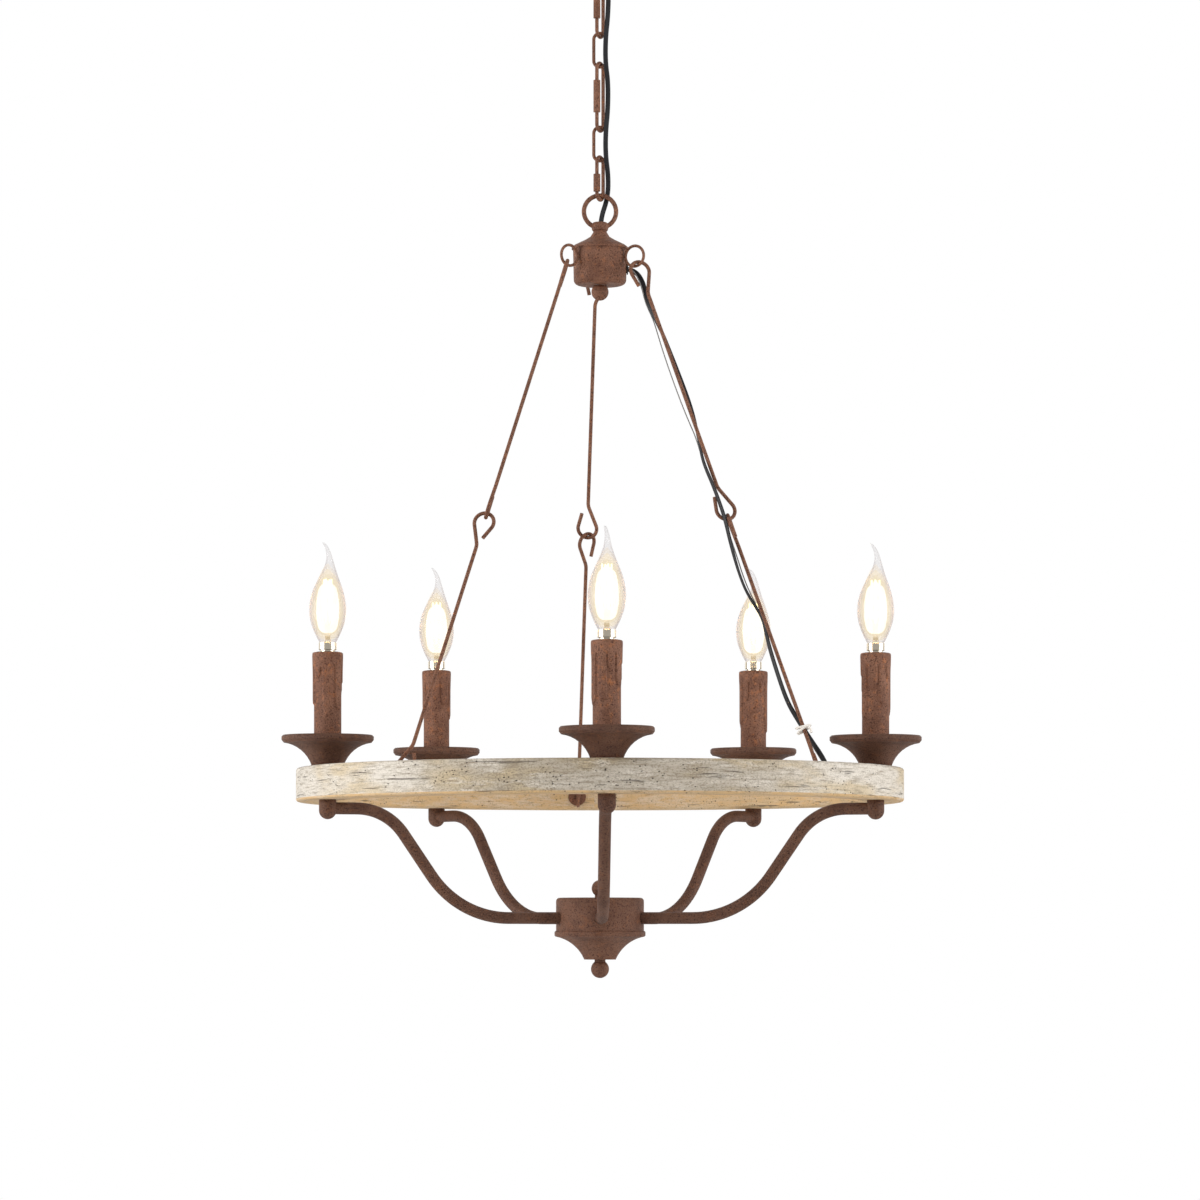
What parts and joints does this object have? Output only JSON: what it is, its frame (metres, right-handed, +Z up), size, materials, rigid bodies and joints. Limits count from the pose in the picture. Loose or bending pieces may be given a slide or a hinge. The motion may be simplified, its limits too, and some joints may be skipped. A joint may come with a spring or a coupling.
{
  "type": "wagon wheel chandelier",
  "caption": "Whitewashed wooden ring hung by hooked iron rods from a small hub and chain, with curved arms to a lower hub and candle lamps in drip cups.",
  "frame": {"origin": "centre of the crossbar's top face, on the ceiling plane above the chandelier's axis", "axes": "+Z up to the ceiling, +X to the viewer's right along the crossbar, +Y away from the viewer"},
  "size_m": [0.6081, 0.6111, 1.0466],
  "materials": {
    "rust_iron": "mottled rust-brown powder coat, satin",
    "plain_steel": "zinc plated",
    "whitewashed_wood": "whitewashed and distressed",
    "black_plastic": "moulded",
    "cord_black": "smooth flat twin cord",
    "wire_grey": "smooth",
    "tie_white": "smooth",
    "bulb_cap": "nickel plated cap with warm filaments",
    "bulb_glass": "clear"
  },
  "bodies": {
    "ceiling": {"crossbar": "plain_steel", "ceiling_nipple": "plain_steel", "nipple_locknut": "plain_steel", "canopy_loop": "rust_iron"},
    "canopy_cover": {"canopy": "rust_iron", "collar_ring": "rust_iron"},
    "upper_link": {"long_link_2": "rust_iron"},
    "upper_link_sleeve": {"long_link_2_sleeve": "rust_iron"},
    "upper_oval": {"chain_oval_2": "rust_iron"},
    "lower_link": {"long_link_1": "rust_iron"},
    "lower_link_sleeve": {"long_link_1_sleeve": "rust_iron"},
    "lower_oval": {"chain_oval_1": "rust_iron"},
    "screw_link": {"quick_link": "rust_iron"},
    "screw_link_nut": {"quick_link_nut": "rust_iron"},
    "hub": {"hub_ring": "rust_iron", "hub_lid": "rust_iron", "hub_shell": "rust_iron", "hub_stem": "plain_steel", "hub_finial": "rust_iron", "hub_eyes": "rust_iron", "hub_grommet": "black_plastic", "supply_cord": "cord_black"},
    "rods_1": {"upper_rod_1": "rust_iron", "lower_rod_1": "rust_iron"},
    "rods_2": {"upper_rod_2": "rust_iron", "lower_rod_2": "rust_iron"},
    "rods_3": {"upper_rod_3": "rust_iron", "lower_rod_3": "rust_iron", "branch_cord": "cord_black", "ground_wire": "wire_grey", "cord_tie": "tie_white"},
    "wheel": {"wood_rim": "whitewashed_wood", "rim_eyes": "rust_iron", "arm_1": "rust_iron", "arm_2": "rust_iron", "arm_3": "rust_iron", "arm_4": "rust_iron", "arm_5": "rust_iron", "arm_ferrules": "rust_iron", "arm_locknuts": "plain_steel", "cup_nipples": "plain_steel", "cup_nuts": "plain_steel", "drip_cups": "rust_iron", "candle_sleeves": "rust_iron", "lampholders": "black_plastic", "lower_hub_shell": "rust_iron", "lower_hub_bowl": "rust_iron", "lower_hub_stem": "plain_steel", "lower_finial": "rust_iron", "top_knob": "rust_iron"},
    "bulb_1": {"bulb_base_1": "bulb_cap", "bulb_glass_1": "bulb_glass"},
    "bulb_2": {"bulb_base_2": "bulb_cap", "bulb_glass_2": "bulb_glass"},
    "bulb_3": {"bulb_base_3": "bulb_cap", "bulb_glass_3": "bulb_glass"},
    "bulb_4": {"bulb_base_4": "bulb_cap", "bulb_glass_4": "bulb_glass"},
    "bulb_5": {"bulb_base_5": "bulb_cap", "bulb_glass_5": "bulb_glass"}
  },
  "joints": [
    {"name": "canopy_slide", "type": "slide", "parent": "ceiling", "child": "canopy_cover", "axis": [0, 0, -1], "range_m": [0, 0.01]},
    {"name": "chain_swing_1", "type": "hinge", "parent": "ceiling", "child": "upper_link", "pos_m": [0, 0, -0.0746], "axis": [0.866, -0.5, 0], "range_deg": [-10, 10], "deforming": ["supply_cord"]},
    {"name": "chain_swing_2", "type": "hinge", "parent": "upper_link", "child": "upper_oval", "pos_m": [0, 0, -0.13585], "axis": [0.5, 0.866, 0], "range_deg": [-10, 10]},
    {"name": "chain_swing_3", "type": "hinge", "parent": "upper_oval", "child": "lower_link", "pos_m": [0, 0, -0.1648], "axis": [-1, 0, 0], "range_deg": [-10, 10]},
    {"name": "chain_swing_4", "type": "hinge", "parent": "lower_link", "child": "lower_oval", "pos_m": [0, 0, -0.22665], "axis": [-0.5, -0.866, 0], "range_deg": [-10, 10]},
    {"name": "chain_swing_5", "type": "hinge", "parent": "lower_oval", "child": "screw_link", "pos_m": [0, 0, -0.2556], "axis": [1, 0, 0], "range_deg": [-10, 10]},
    {"name": "hub_swing", "type": "hinge", "parent": "screw_link", "child": "hub", "pos_m": [0, 0, -0.29345], "axis": [0.5, 0.866, 0], "range_deg": [-10, 10]},
    {"name": "upper_sleeve_slide", "type": "slide", "parent": "upper_link", "child": "upper_link_sleeve", "axis": [0, 0, 1], "range_m": [0, 0.009]},
    {"name": "lower_sleeve_slide", "type": "slide", "parent": "lower_link", "child": "lower_link_sleeve", "axis": [0, 0, 1], "range_m": [0, 0.009]},
    {"name": "screw_nut_slide", "type": "slide", "parent": "screw_link", "child": "screw_link_nut", "axis": [0, 0, 1], "range_m": [0, 0.009]},
    {"name": "ring_twist", "type": "hinge", "parent": "hub", "child": "wheel", "pos_m": [0, 0, -0.86368], "axis": [0, 0, 1], "range_deg": [-3.5, 3.5], "stiffness_Nm_per_rad": 0.8, "deforming": ["branch_cord", "ground_wire"]},
    {"name": "rods_1_swing", "type": "hinge", "parent": "hub", "child": "rods_1", "pos_m": [-0.00291, 0.04159, -0.35966], "axis": [-0.0698, 0.9976, 0], "range_deg": [-2, 2]},
    {"name": "rods_2_swing", "type": "hinge", "parent": "hub", "child": "rods_2", "pos_m": [-0.03285, -0.02567, -0.35966], "axis": [-0.788, -0.6157, 0], "range_deg": [-2, 2]},
    {"name": "rods_3_swing", "type": "hinge", "parent": "hub", "child": "rods_3", "pos_m": [0.0361, -0.02084, -0.35966], "axis": [0.866, -0.5, 0], "range_deg": [-2, 2]},
    {"name": "bulb_1_lift", "type": "slide", "parent": "wheel", "child": "bulb_1", "axis": [0, 0, 1], "range_m": [0, 0.025]},
    {"name": "bulb_2_lift", "type": "slide", "parent": "wheel", "child": "bulb_2", "axis": [0, 0, 1], "range_m": [0, 0.025]},
    {"name": "bulb_3_lift", "type": "slide", "parent": "wheel", "child": "bulb_3", "axis": [0, 0, 1], "range_m": [0, 0.025]},
    {"name": "bulb_4_lift", "type": "slide", "parent": "wheel", "child": "bulb_4", "axis": [0, 0, 1], "range_m": [0, 0.025]},
    {"name": "bulb_5_lift", "type": "slide", "parent": "wheel", "child": "bulb_5", "axis": [0, 0, 1], "range_m": [0, 0.025]}
  ],
  "couplings": [
    {"joint": "rods_1_swing", "follows": "ring_twist", "ratio": 0.47969},
    {"joint": "rods_2_swing", "follows": "ring_twist", "ratio": 0.47969},
    {"joint": "rods_3_swing", "follows": "ring_twist", "ratio": 0.47969}
  ]
}
